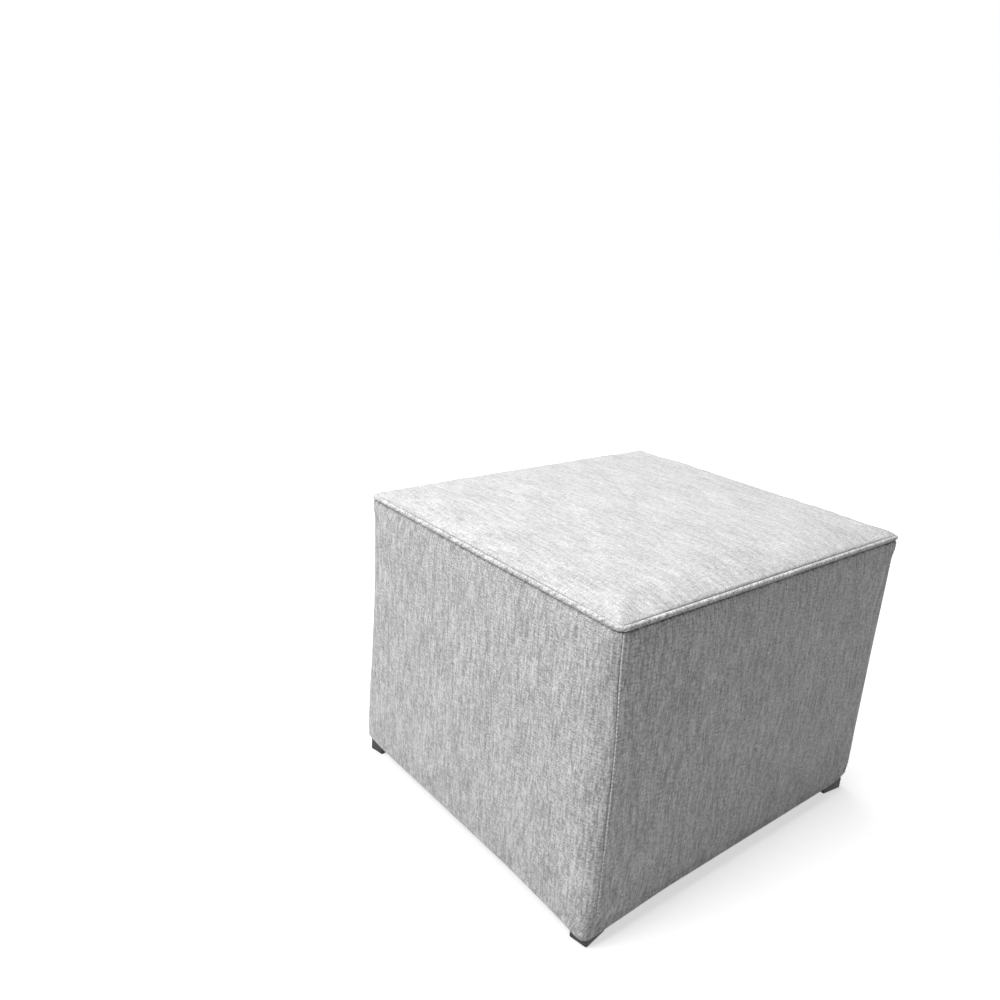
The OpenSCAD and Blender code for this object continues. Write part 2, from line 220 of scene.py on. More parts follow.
def thicken(piece, thickness, levels=1):
    # gives a sheet its thickness inwards, and makes it finer
    shell = piece.modifiers.new("thickness", "SOLIDIFY")
    shell.thickness = thickness
    shell.offset = -1
    if levels:
        finer = piece.modifiers.new("finer", "SUBSURF")
        finer.levels = finer.render_levels = levels


# Node groups for the finishes

def newGroup(name, **settings):
    # a pattern: its place and some numbers go in
    group = bpy.data.node_groups.new(name, "ShaderNodeTree")
    group.interface.new_socket(name="Vector", in_out="INPUT", socket_type="NodeSocketVector")
    for label, value in settings.items():
        socket = group.interface.new_socket(name=label, in_out="INPUT", socket_type="NodeSocketFloat")
        socket.default_value = value
    return group, group.nodes.new("NodeGroupInput").outputs


def closeGroup(group, **values):
    for label in values:
        group.interface.new_socket(name=label, in_out="OUTPUT", socket_type="NodeSocketFloat")
    end = group.nodes.new("NodeGroupOutput")
    for label, value in values.items():
        wire(group, value, end.inputs[label])
    return group


def setInputs(node, values):
    for label, value in values.items():
        node.inputs[label].default_value = value


def wire(tree, source, target):
    # a number is set on the socket, an output is joined to it
    if isinstance(source, (int, float)):
        target.default_value = source
    else:
        tree.links.new(source, target)


def mathNode(tree, operation, *values):
    node = tree.nodes.new("ShaderNodeMath")
    node.operation = operation
    for socket, value in zip(node.inputs, values):
        wire(tree, value, socket)
    return node.outputs[0]


def times(tree, *values):
    return mathNode(tree, "MULTIPLY", *values)


def addUp(tree, values):
    total = values[0]
    for value in values[1:]:
        total = mathNode(tree, "ADD", total, value)
    return total


def noiseNode(tree, vector, scale, detail):
    node = tree.nodes.new("ShaderNodeTexNoise")
    for label, value in (("Vector", vector), ("Scale", scale), ("Detail", detail)):
        wire(tree, value, node.inputs[label])
    return node.outputs["Fac"]


def stretched(tree, vector, scales=(1, 1, 1), turn=0):
    node = tree.nodes.new("ShaderNodeMapping")
    setInputs(node, {"Scale": scales, "Rotation": (0, 0, math.radians(turn))})
    wire(tree, vector, node.inputs["Vector"])
    return node.outputs[0]


def spreadOf(tree, value, low, high, toLow, toHigh):
    node = tree.nodes.new("ShaderNodeMapRange")
    wire(tree, value, node.inputs["Value"])
    setInputs(node, {"From Min": low, "From Max": high, "To Min": toLow, "To Max": toHigh})
    return node.outputs[0]


weave = {
    "thread": 0.0012,  # from one thread to the next
    "weft": 0.7,  # height of the crossing threads against the long ones
    # yarns that come and go in shade: scales across and along, detail, amount, and turn in degrees
    "slubs": [((430, 42, 1), 1.5, 0.38, 0), ((620, 130, 1), 1.0, 0.36, 0), ((170, 20, 1), 1.0, 0.26, 0)],
    "specks": [((110, 520, 1), 1.0, 0.34, 0), ((330, 980, 1), 1.0, 0.56, -35)],
    "cloud": ((26, 14, 1), 2.0, 0.12, 0),
    "paintedThreadShade": 0.2,  # painted shade: how much darker the gaps between the threads are drawn, and lighter their crowns
    "slubHeight": 0.45,  # and how much the yarns' shade shows in the height
    "contrast": 0.68,
    "middle": 0.40,
    "dark": 0.30, "roughness": 0.86, "bump": 0.0003, "sheen": 0.12,
}


def yarnTone(tree, vector, yarn):
    # a stretched noise that runs from minus to plus its amount
    scales, detail, amount, turn = yarn
    if turn:
        vector = stretched(tree, vector, turn=turn)
    tone = noiseNode(tree, stretched(tree, vector, scales), 1.0, detail)
    return spreadOf(tree, tone, 0.3, 0.7, -amount, amount)


def makeWeaveGroup():
    # heathered twill: tone is how light the yarn is, with painted shade in the gaps between the threads,
    # height is the relief of the threads
    group, given = newGroup("heatherTwill", Thread=weave["thread"], Slub=1.0, Speckle=1.0)
    flat = given["Vector"]
    split = group.nodes.new("ShaderNodeSeparateXYZ")
    wire(group, flat, split.inputs[0])
    threads = [mathNode(group, "DIVIDE", split.outputs[axis], given["Thread"]) for axis in (0, 1)]
    ridges = []
    for count in threads:
        wave = mathNode(group, "SINE", times(group, count, math.pi))
        ridges.append(mathNode(group, "ABSOLUTE", wave))
    # two over, two under, one step along on each pick
    steps = addUp(group, [mathNode(group, "FLOOR", count) for count in threads])
    share = mathNode(group, "FRACT", mathNode(group, "DIVIDE", steps, 4.0))
    over = mathNode(group, "LESS_THAN", share, 0.5)
    warpUp = times(group, ridges[0], over)
    weftUp = times(group, ridges[1], mathNode(group, "SUBTRACT", 1.0, over))
    relief = mathNode(group, "ADD", warpUp, times(group, weftUp, weave["weft"]))
    slub = addUp(group, [yarnTone(group, flat, yarn) for yarn in weave["slubs"]])
    slub = times(group, slub, given["Slub"])
    specks = addUp(group, [yarnTone(group, flat, yarn) for yarn in weave["specks"]])
    specks = times(group, specks, given["Speckle"])
    cloud = yarnTone(group, flat, weave["cloud"])
    # painted shade: the threads' relief darkens the tone in the gaps between them
    tone = addUp(group, [slub, specks, cloud, times(group, relief, weave["paintedThreadShade"])])
    tone = mathNode(group, "ADD", times(group, tone, weave["contrast"]), weave["middle"])
    relief = mathNode(group, "ADD", relief, times(group, slub, weave["slubHeight"]))
    return closeGroup(group, Tone=tone, Height=relief)


def makeGrainGroup():
    # long grain with rings, for the frame's softwood and the boards
    group, given = newGroup("woodGrain", Rings=90.0)
    flat = given["Vector"]
    bands = group.nodes.new("ShaderNodeTexWave")
    setInputs(bands, {"Distortion": 4.5, "Detail": 2.0, "Detail Scale": 0.6})
    wire(group, flat, bands.inputs["Vector"])
    wire(group, given["Rings"], bands.inputs["Scale"])
    fibre = noiseNode(group, stretched(group, flat, (900, 900, 40)), 1.0, 3.0)
    tone = mathNode(group, "ADD", times(group, bands.outputs["Fac"], 0.6), times(group, fibre, 0.5))
    return closeGroup(group, Tone=tone, Height=fibre)


def makeSpeckGroup():
    # fine mottle with a little large-scale unevenness, for plastics, metals, foam and felt
    group, given = newGroup("fineMottle", Scale=900.0)
    fine = noiseNode(group, given["Vector"], given["Scale"], 3.0)
    wide = noiseNode(group, given["Vector"], 45.0, 2.0)
    tone = addUp(group, [times(group, value, 0.5) for value in (fine, wide)])
    return closeGroup(group, Tone=tone, Height=fine)


weaveGroup, grainGroup, speckGroup = makeWeaveGroup(), makeGrainGroup(), makeSpeckGroup()


# Materials

def patternMaterial(name, group, settings, dark, light, roughness, bump,
                    metal=0.0, sheen=0.0, uv=False, turn=0, uneven=0.06):
    # the colour runs from dark to light by the group's tone, and the height makes the bump
    material = bpy.data.materials.new(name)
    material.use_nodes = True
    tree = material.node_tree
    shader = tree.nodes["Principled BSDF"]
    where = tree.nodes.new("ShaderNodeTexCoord")
    vector = where.outputs["UV" if uv else "Object"]
    if turn:
        vector = stretched(tree, vector, turn=turn)
    pattern = tree.nodes.new("ShaderNodeGroup")
    pattern.node_tree = group
    wire(tree, vector, pattern.inputs["Vector"])
    setInputs(pattern, settings)
    ramp = tree.nodes.new("ShaderNodeValToRGB")
    ramp.color_ramp.elements[0].color = (*dark, 1)
    ramp.color_ramp.elements[1].color = (*light, 1)
    wire(tree, pattern.outputs["Tone"], ramp.inputs["Fac"])
    wire(tree, ramp.outputs["Color"], shader.inputs["Base Color"])
    rough = spreadOf(tree, pattern.outputs["Tone"], 0.0, 1.0, roughness - uneven, roughness + uneven)
    wire(tree, rough, shader.inputs["Roughness"])
    relief = tree.nodes.new("ShaderNodeBump")
    setInputs(relief, {"Strength": 1.0, "Distance": bump})
    wire(tree, pattern.outputs["Height"], relief.inputs["Height"])
    wire(tree, relief.outputs["Normal"], shader.inputs["Normal"])
    setInputs(shader, {"Metallic": metal, "Sheen Weight": sheen, "Sheen Roughness": 0.5})
    return material


def grey(level):
    return (level, level, level)


def clothMaterial(name, light, turn=0, **shades):
    return patternMaterial(name, weaveGroup, {"Thread": weave["thread"], **shades},
                           grey(weave["dark"]), grey(light), weave["roughness"], weave["bump"],
                           sheen=weave["sheen"], uv=True, turn=turn)


def mottled(name, scale, dark, light, roughness, bump, metal=0.0):
    return patternMaterial(name, speckGroup, {"Scale": scale}, dark, light, roughness, bump, metal=metal)


def wooden(name, rings, dark, light, roughness, bump):
    return patternMaterial(name, grainGroup, {"Rings": rings}, dark, light, roughness, bump)


coverCloth = clothMaterial("coverCloth", 0.86)
topCloth = clothMaterial("topCloth", 0.86, Slub=0.5, Speckle=0.62)
weltCloth = clothMaterial("weltCloth", 0.90, turn=45)
stitchThread = mottled("stitchThread", 4000, grey(0.86), grey(0.97), 0.6, 0.00005)
footPlastic = mottled("footPlastic", 1400, grey(0.012), grey(0.035), 0.5, 0.00006)
dustFleece = mottled("dustFleece", 1100, grey(0.008), grey(0.03), 0.9, 0.0002)
stapleSteel = mottled("stapleSteel", 3000, grey(0.45), grey(0.62), 0.32, 0.00001, metal=1.0)
springSteel = mottled("springSteel", 2500, (0.20, 0.20, 0.21), (0.34, 0.34, 0.35), 0.38, 0.00002, metal=1.0)
frameWood = wooden("frameWood", 30, (0.50, 0.33, 0.17), (0.72, 0.54, 0.33), 0.6, 0.00015)
dowelWood = wooden("dowelWood", 60, (0.52, 0.38, 0.24), (0.70, 0.55, 0.38), 0.55, 0.0001)
backingBoard = mottled("backingBoard", 700, (0.22, 0.13, 0.07), (0.36, 0.23, 0.13), 0.7, 0.0001)
seatFoam = mottled("seatFoam", 1000, (0.72, 0.62, 0.40), (0.88, 0.80, 0.60), 0.95, 0.0004)
fibreWadding = mottled("fibreWadding", 500, grey(0.75), grey(0.92), 0.95, 0.0006)
pressedFelt = mottled("pressedFelt", 800, (0.16, 0.16, 0.15), (0.42, 0.41, 0.38), 0.95, 0.0004)
cordFibre = mottled("cordFibre", 1500, (0.70, 0.67, 0.60), (0.86, 0.83, 0.76), 0.9, 0.0002)
print("materials made")


# Camera, at the photograph's viewing angle

view = {
    "place": (-0.7952, -0.6925, 0.7157),
    "azimuth": -39.73, "elevation": 18.02, "roll": 3.97,  # in degrees
    "lens": 31.37, "sensor": 36,  # in millimetres
}


def addCamera():
    azimuth, elevation = math.radians(view["azimuth"]), math.radians(view["elevation"])
    level = math.cos(elevation)
    back = Vector((math.sin(azimuth) * level, -math.cos(azimuth) * level, math.sin(elevation)))
    right = Vector((0, 0, 1)).cross(back).normalized()
    turn = Matrix((right, back.cross(right), back)).transposed()
    turn = turn @ Matrix.Rotation(math.radians(view["roll"]), 3, "Z")
    data = bpy.data.cameras.new("camera")
    data.lens = view["lens"]
    data.sensor_width = view["sensor"]
    camera = addObject("camera", data)
    camera.matrix_world = Matrix.Translation(view["place"]) @ turn.to_4x4()
    bpy.context.scene.camera = camera


addCamera()


# Side covers: each is a panel from seam to seam, turned in at the welt and rolled under at the bottom.
# The left and right panels wrap round the corners, so the seams lie just on the front and the rear.

panel = {
    "topFold": 0.0013,  # radius of the turn into the top seam
    "topDrop": 0.0014,  # how far under the seam the cloth turns in, below the welt
    "topTuck": [(0.003, 0.0033), (0.0019, 0.0016), (0.0016, 0.0)],  # in and up from there
    "folds": [0.0007, 0.0012],  # the turn at the upright seams: front and rear, then left and right
    "foldShares": (0.0, 0.1, 0.3, 0.6, 1.0),
    "ridge": 0.0004,  # how much the allowances under a front or rear panel's edge lift it
    "ridgeWidth": 0.014,
    "slit": 0.0001,  # how far each panel stays back from the middle of an upright seam
    "tuck": 0.003,  # cloth that goes on inside the seam
    "roll": 0.005,  # radius of the roll along the bottom
    "cornerRolls": [0.014, 0.010, 0.008, 0.0018],  # the same at the corners, from the front right one
    "cornerSags": [0.0, 0.0, 0.0, 0.0055],  # how far a lip of the roll hangs lower there
    "cornerReach": 0.045,  # how far along the bottom a corner's roll is felt
    "sagReach": 0.14,  # and how far its sagging lip
    "full": 0.0012,  # how far the padding holds the upright cloth out
    "fullHeight": 0.008,  # it does so fully from this far under the top seam
    "rounder": 0.008,  # how much larger the corners' radius is under the welt
    "rounderTop": 0.026,  # this far under the top seam they do so fully
    "rounderLow": 0.22,  # and from this far over the hem
    "lipWidth": 0.0013,  # the lip turns up again over this width
    "rollRows": 12,
    "hemShares": (0.02, 0.045, 0.08, 0.3, 0.65, 1.0),
    "hem": 0.030,  # from the cover's face to the hem's edge
    "cloth": 0.0015,
    "swell": 0.0016,  # how far the padding may push a panel out
    "seamStart": 0.0056,  # how far round the corner the seams start at the top
    "startHeight": 0.16,  # over this height they come back to the corner's end
    "seamLean": 0.0024,  # how far the seams lean in on their way down
    "seamBend": 0.0094,  # how far they bend out to the body's edge near the floor
    "bendHeight": 0.022,  # over this height
    "seamReach": 0.05,  # how far into a panel the cloth follows its seam
    "held": 0.004,  # cloth nearer to a seam than this stays where it is
    "onFace": 0.005,  # cloth this near to the front or rear lies on it
    "uneven": 0.0007,
    "seed": 7.3,  # the unevenness moves on by this from side to side
    "grid": 0.005,
}

panelTop = body["seamHeight"] - panel["topDrop"]
rollHeight = max(panel["cornerRolls"])  # the upright cloth ends this far over the hem


def foldShape(distance, radius):
    # how far a cloth edge has sunk at a distance from its seam line
    share = min(distance / radius, 1.0)
    return radius * (1 - math.sqrt(1 - (1 - share) ** 2))


def seamShift(height):
    # how much nearer than the corner's curve the seams lie to the body's edge
    low = body["hemHeight"]
    lean = panel["seamLean"] * (1 - (height - low) / (body["seamHeight"] - low))
    bend = (panel["seamBend"] + panel["seamLean"]) * (1 - smooth((height - low) / panel["bendHeight"]))
    start = panel["seamStart"] * smooth(1 - (body["seamHeight"] - height) / panel["startHeight"])
    return start + bend - lean


def bottomEdge(along):
    # radius of the bottom roll, which changes towards the corners, and how far its lip hangs
    radius, sag = panel["roll"], 0.0
    for corner, cornerRoll in enumerate(panel["cornerRolls"]):
        middle = sideStart(corner + 1) - cornerLength / 2
        gap = abs((along - middle + roundLength / 2) % roundLength - roundLength / 2)
        radius += (cornerRoll - panel["roll"]) * smooth(1 - gap / panel["cornerReach"])
        sag += panel["cornerSags"][corner] * smooth(1 - gap / panel["sagReach"])
    return radius, sag


def cornerRounder(height):
    # how much larger the corners' radius is where the padding fills them less than at the welt
    upper = smooth((panelTop - height) / panel["rounderTop"])
    lower = smooth((height - body["hemHeight"]) / panel["rounderLow"])
    return panel["rounder"] * upper * lower


def panelColumns(start, end, fold):
    # (distance along the plan, how far sunk): sunken tucks at both seams, the fold, then even steps
    start, end = start + panel["slit"], end - panel["slit"]
    turned = [fold * share for share in panel["foldShares"]]
    left = [(start, fold + panel["tuck"])] + [(start + d, foldShape(d, fold)) for d in turned]
    right = [(end - d, foldShape(d, fold)) for d in reversed(turned)] + [(end, fold + panel["tuck"])]
    near = panel["grid"] / 2
    middle = [(along, 0.0) for along in spread(start + fold + near, end - fold - near, panel["grid"])]
    return left + middle + right


def panelRows():
    # (kind, amount, height) down the profile: tuck, fold, upright, roll and hem
    fold, top = panel["topFold"], panelTop
    foot = body["hemHeight"] + rollHeight
    rows = [("sunk", fold + across, top + up) for across, up in panel["topTuck"]]
    turned = [fold * share for share in panel["foldShares"][:-1]]
    rows += [("sunk", foldShape(d, fold), top - d) for d in turned]
    rows += [("upright", 0, height) for height in spread(top - fold, foot, panel["grid"])]
    rows += [("roll", k / panel["rollRows"], 0) for k in range(1, panel["rollRows"] + 1)]
    rows += [("hem", share, 0) for share in panel["hemShares"]]
    return rows


def profilePlace(row, edge, low):
    # inset, height and the cloth's own height at a row, for a bottom edge's roll and sag
    kind, amount, height = row
    roll, sag = edge
    foot = low + rollHeight
    low = low - sag
    straight = foot - low - roll
    rolled = straight + roll * math.pi / 2
    if kind == "sunk":
        return amount, height, height
    if kind == "roll":
        below = amount * rolled
        angle = max(0.0, below - straight) / roll
        height = foot - below if below < straight else low + roll * (1 - math.sin(angle))
        return roll * (1 - math.cos(angle)), height, foot - below
    if kind == "hem":
        across = (panel["hem"] - roll) * amount
        return roll + across, low + sag * smooth(across / panel["lipWidth"]), foot - rolled - across
    return 0.0, height, height


def besideSeams(along, height, start, end, sign):
    # the cloth beside a seam follows it
    nearStart = smooth(1 - (along - start) / panel["seamReach"])
    nearEnd = smooth(1 - (end - along) / panel["seamReach"])
    return along + sign * seamShift(height) * (nearStart - nearEnd)


def panelPlace(column, row, start, end, sign):
    along, sunk = column
    inset, height, flat = profilePlace(row, bottomEdge(along), body["hemHeight"])
    if row[0] == "upright":
        upper = smooth((panelTop - panel["topFold"] - height) / panel["fullHeight"])
        lift = panel["full"]
        if sign < 0:
            lift += panel["ridge"] * smooth(1 - min(along - start, end - along) / panel["ridgeWidth"])
        inset -= lift * upper * smooth((height - body["hemHeight"] - rollHeight) / panel["fullHeight"])
    place = planPlace(besideSeams(along, height, start, end, sign), inset + sunk, cornerRounder(height))[0]
    return Vector((*place, height)), (along, flat)


def panelHeld(mesh, start, end):
    # how firmly each point is held: fully in seams, roll and hem
    low = body["hemHeight"] + rollHeight
    flats = {}
    for polygon in mesh.polygons:
        for index, loop in zip(polygon.vertices, polygon.loop_indices):
            flats[index] = mesh.uv_layers[0].data[loop].uv.copy()

    def held(index):
        along, height = flats[index]
        edge = min(along - start, end - along, body["seamHeight"] - height, height - low)
        return 1.0 if edge < panel["held"] else 0.0
    return held


rippling = {
    "wide": (11, 11, 8),  # waves to the metre of the wide unevenness, and of the puckers
    "fine": 75,
    "still": 0.003,  # this near to a seam nothing moves
    "fade": 0.03,  # from there the wide unevenness comes in over this width
    "pucker": 0.0004,
    "puckerGap": 0.008,  # the puckers are strongest this far from a seam
    "puckerWidth": 0.010,
}


def ripple(piece, seed, amount, edgeGap):
    # slight unevenness of hand-stretched cloth, and small puckers that fade away from the seams
    mesh = piece.data
    mesh.update()
    normals = [vertex.normal.copy() for vertex in mesh.vertices]
    for vertex, normal in zip(mesh.vertices, normals):
        edge = edgeGap(vertex.co)
        if edge < rippling["still"]:
            continue
        x, y, z = vertex.co
        away = smooth((edge - rippling["still"]) / rippling["fade"])
        wideX, wideY, wideZ = rippling["wide"]
        wide = noise.noise(Vector((x * wideX + seed, y * wideY, z * wideZ)))
        fine = rippling["fine"]
        pucker = noise.noise(Vector((x * fine, y * fine + seed, z * fine)))
        pucker *= math.exp(-((edge - rippling["puckerGap"]) / rippling["puckerWidth"]) ** 2)
        vertex.co += normal * (amount * wide * away + rippling["pucker"] * pucker)


def seamGap(point):
    # distance to the nearest of the top seam, the roll and the upright seams
    gaps = [body["seamHeight"] - point.z, point.z - body["hemHeight"] - panel["roll"]]
    if abs(point.y) > body["halfDepth"] - panel["onFace"]:
        gaps.append(abs(abs(point.x) - centreX))
    return max(0.0, min(gaps))


def sideSpan(side):
    # a panel's two ends along the plan, and the sign of the seams' shift
    start, end = sideStart(side), sideStart(side) + straights[side % 2]
    if side % 2:
        return start - cornerLength, end + cornerLength, 1
    return start, end, -1


def addSideCover(side, label):
    start, end, sign = sideSpan(side)
    columns = panelColumns(start, end, panel["folds"][side % 2])
    mesh = clothGrid(columns, panelRows(), lambda c, r: panelPlace(c, r, start, end, sign), "wall")
    piece = finishObject(f"side_cover_panel_{label}", mesh, coverCloth)
    puff(piece, panelHeld(mesh, start, end), panel["swell"])
    ripple(piece, panel["seed"] * side, panel["uneven"], seamGap)
    thicken(piece, panel["cloth"])
    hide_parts(f"side_cover_{label}")
    return piece


sideNames = ["front", "right", "rear", "left"]
sideCovers = [addSideCover(side, label) for side, label in enumerate(sideNames)]
print("side covers made")


# Top cover: a crowned panel that rises from behind the welt

weltLow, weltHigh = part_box("welt_cover")
welt = {
    "radius": (weltHigh.z - weltLow.z) / 2,
    "height": (weltHigh.z + weltLow.z) / 2,
    "stand": weltHigh.x - body["halfWidth"],
    "around": 14,  # faces round it
    "step": 0.003,
    "uneven": 0.03, "waves": 90,  # share of the radius by which it varies, and how often
    "flange": 0.0012,  # thickness of the seam allowance
    "flangeEnd": 0.0073,  # inset of its inner edge
    "flangeFlat": 0.02,  # and its place in the cloth
    "lap": 0.14,  # how much thicker the welt is where its ends meet
    "lapWidth": 0.007,
    "lapPlace": 0.4,  # along the rear side
}
topPanel = {
    "inset": 0.0025,  # from the side's face to the panel's edge, behind the welt
    "edgeWidth": 0.016,  # over this width the edge rolls over
    "steepness": 0.22,  # 1 for an upright start behind the welt
    "edgeShare": 0.66,  # share of the whole rise that the rolled edge has
    "cornerDrop": 0.33,  # how much lower the crown is over the corners
    "domePower": 2.4,  # higher for a flatter middle
    "rise": 0.0025,  # how far over the welt's middle the edge lies
    "edgeSteps": (0.0, 0.0008, 0.002, 0.004, 0.0065, 0.0095, 0.0135),
    "held": 0.003,
    "swell": 0.0025,
    "uneven": 0.0012,
    "seed": 41.0,
    "grid": 0.005,
}
weltInset = welt["radius"] - welt["stand"]  # of its middle
topEdgeHeight = welt["height"] + topPanel["rise"]
coverTop = body["topHeight"] - topPanel["swell"] * 0.5


def roundCorner(x, y, inset):
    # draws a square corner in to the plan's rounded one
    radius = body["cornerRadius"] - inset
    overX, overY = (abs(x) - centreX) / radius, (abs(y) - centreY) / radius
    if overX <= 0 or overY <= 0:
        return x, y
    roundX = overX * math.sqrt(1 - overY * overY / 2)
    roundY = overY * math.sqrt(1 - overX * overX / 2)
    return math.copysign(centreX + radius * roundX, x), math.copysign(centreY + radius * roundY, y)


def topEdgeGap(x, y, inset):
    # distance to the panel's edge
    overX, overY = abs(x) - centreX, abs(y) - centreY
    outside = math.hypot(max(overX, 0), max(overY, 0))
    return max(0.0, body["cornerRadius"] - inset - outside - min(max(overX, overY), 0))


def crownHeight(x, y, inset, rise):
    share = min(topEdgeGap(x, y, inset) / topPanel["edgeWidth"], 1.0)
    bow = 1 - (1 - share) ** 2
    edge = bow + topPanel["steepness"] * (math.sqrt(bow) - bow)
    alongX, alongY = abs(x) / body["halfWidth"], abs(y) / body["halfDepth"]
    dome = (1 - alongX ** topPanel["domePower"]) * (1 - alongY ** topPanel["domePower"])
    corner = smooth((min(alongX, alongY) - 0.5) / 0.5)
    edgePart = topPanel["edgeShare"] * edge * (1 - topPanel["cornerDrop"] * corner)
    return rise * (edgePart + (1 - topPanel["edgeShare"]) * dome)


def axisSteps(half, grid, edges):
    # finer steps towards both edges
    left = [-half + d for d in edges]
    middle = spread(left[-1], -left[-1], grid)[1:-1]
    return left + middle + [-value for value in reversed(left)]


def crownGrid(inset, base, top, grid):
    # a crowned sheet over the whole plan
    def place(x, y):
        roundX, roundY = roundCorner(x, y, inset)
        height = base + crownHeight(roundX, roundY, inset, top - base)
        return Vector((roundX, roundY, height)), (roundX, roundY)
    return clothGrid(*(axisSteps(half - inset, grid, topPanel["edgeSteps"]) for half in halves), place)


def addTopCover():
    mesh = crownGrid(topPanel["inset"], topEdgeHeight, coverTop, topPanel["grid"])
    piece = finishObject("top_cover_panel", mesh, topCloth)

    def edgeGap(point):
        return topEdgeGap(point.x, point.y, topPanel["inset"])
    gaps = [edgeGap(vertex.co) for vertex in mesh.vertices]
    puff(piece, lambda index: 1.0 if gaps[index] < topPanel["held"] else 0.0, topPanel["swell"])
    ripple(piece, topPanel["seed"], topPanel["uneven"], edgeGap)
    thicken(piece, panel["cloth"])
    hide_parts("top_cover")
    return piece


topCover = addTopCover()
print("top cover made")


# Welt: cloth round a cord, with its seam allowance inside

def weltSection():
    # (outwards, upwards, the cloth's own place) round the cord and along the seam allowance
    radius, half = welt["radius"], welt["flange"] / 2
    neck = math.pi - math.asin(half / radius)
    points = [(radius * math.cos(angle), radius * math.sin(angle), radius * angle)
              for angle in spread(neck, -neck, 2 * neck / welt["around"])]
    tail, flat = weltInset - welt["flangeEnd"], welt["flangeFlat"]
    points += [(tail, -half, -flat), (tail, half, flat), points[0]]
    return points


def addWelt():
    joint = sideStart(2) + straights[0] * welt["lapPlace"]
    section = weltSection()

    def place(along, corner):
        out, up, flat = section[corner]
        # hand-sewn unevenness, and a thicker place where the ends meet at the rear
        size = 1 + welt["uneven"] * noise.noise(Vector((along * welt["waves"], 3.0, 0)))
        size += welt["lap"] * math.exp(-((along - joint) / welt["lapWidth"]) ** 2)
        if corner <= welt["around"]:
            out, up = out * size, up * size
        centre = planPlace(along, weltInset - out)[0]
        return Vector((*centre, welt["height"] + up)), (along, flat)
    mesh = clothGrid(spread(0, roundLength, welt["step"]), range(len(section)), place, "tube")
    piece = finishObject("welt_cord_cover", mesh, weltCloth, sharp=60)
    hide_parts("welt_cover")


addWelt()
print("welt made")


# Stitching: a line of short stitches beside each upright seam, on the front and rear panels

stitch = {
    "length": 0.0032, "wide": 0.0017, "thick": 0.0007,
    "pitch": 0.0046,  # from stitch to stitch
    "lift": 0.4,  # share of its thickness that its middle lies over the cloth
    "fromSeam": 0.0009,
    "reach": 0.05,  # the cloth is looked for from this far outside
    "topGap": 0.004, "lowGap": 0.024,  # the line ends this far from the welt and the hem
}


def addStitches():
    work = bmesh.new()
    size = Matrix.Diagonal((stitch["wide"], stitch["thick"], stitch["length"], 1))
    for side in (0, 2):
        tree = surfaceTree(sideCovers[side])
        start, end, _ = sideSpan(side)
        for seam, inward in ((start, 1), (end, -1)):
            height = body["seamHeight"] - stitch["topGap"]
            while height > body["hemHeight"] + stitch["lowGap"]:
                along = seam + inward * (stitch["fromSeam"] - seamShift(height))
                place, outward = planPlace(along, 0.0, cornerRounder(height))
                out = Vector((*outward, 0))
                hit = tree.ray_cast(Vector((*place, height)) + out * stitch["reach"], -out)[0]
                height -= stitch["pitch"]
                if hit is None:
                    continue
                middle = hit + out * stitch["thick"] * stitch["lift"]
                bmesh.ops.create_uvsphere(work, u_segments=8, v_segments=5, radius=0.5,
                                          matrix=Matrix.Translation(middle) @ turnedOut(out) @ size)
    piece = finishObject("corner_stitching", meshFrom(work, "stitches"), stitchThread)


addStitches()
print("stitching made")


# Feet: the moulded blocks, with their edges eased

foot = {"bevel": 0.0006, "sharp": 25, "shaded": 35}  # angles in degrees


def addFoot(label):
    # a merged copy of the CAD foot with its sharp edges eased
    work = bmesh.new()
    work.from_mesh(nodes[f"foot_{label}"].data)
    bmesh.ops.remove_doubles(work, verts=work.verts, dist=2e-6)
    bmesh.ops.dissolve_limit(work, angle_limit=math.radians(1), verts=work.verts, edges=work.edges)
    easeEdges(work, foot["sharp"], foot["bevel"])
    bmesh.ops.triangulate(work, faces=[face for face in work.faces if len(face.verts) > 4])
    name = f"foot_block_{label}"
    piece = finishObject(name, meshFrom(work, name), footPlastic, foot["shaded"])
    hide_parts(f"foot_{label}")


for label in ("front_left", "front_right", "rear_right", "rear_left"):
    addFoot(label)
print("feet made")


# Underside: the dust cover, stretched and stapled

dustLow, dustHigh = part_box("dust_cover")
dustInset = body["halfWidth"] - dustHigh.x
dust = {
    "grid": 0.006,
    "cloth": dustHigh.z - dustLow.z,
    "turnUnder": 0.0115,  # width of the edge that is folded under
    "foldDrop": 0.0005,  # how much lower the doubled edge lies
    "foldWidth": 0.0015,  # over this width it comes back
    "sag": 0.0008,
    "sagWidth": 0.06,  # from the edge to where the cloth sags fully
    "waves": (9, 26),  # to the metre, wide ones and fine ones
    "edgeSteps": (0.0, 0.003, 0.006, 0.009, 0.0112, 0.0122, 0.0134, 0.018),
}


def addDustCover():
    def place(x, y):
        roundX, roundY = roundCorner(x, y, dustInset)
        gap = topEdgeGap(roundX, roundY, dustInset)
        loose = smooth(gap / dust["sagWidth"])
        wide, fine = dust["waves"]
        wave = noise.noise(Vector((x * wide, y * wide, 5.0)))
        wave += 0.5 * noise.noise(Vector((x * fine, y * fine, 9.0)))
        height = dustHigh.z - dust["sag"] * loose * (0.5 + 0.5 * wave)
        height -= dust["foldDrop"] * (1 - smooth((gap - dust["turnUnder"]) / dust["foldWidth"]))
        return Vector((roundX, roundY, height)), (roundX, roundY)
    halfX, halfY = (half - dustInset for half in halves)
    mesh = clothGrid(*(axisSteps(half, dust["grid"], dust["edgeSteps"]) for half in (halfX, halfY)), place)
    piece = finishObject("dust_cover_cloth", mesh, dustFleece)
    thicken(piece, dust["cloth"], levels=0)
    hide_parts("dust_cover")


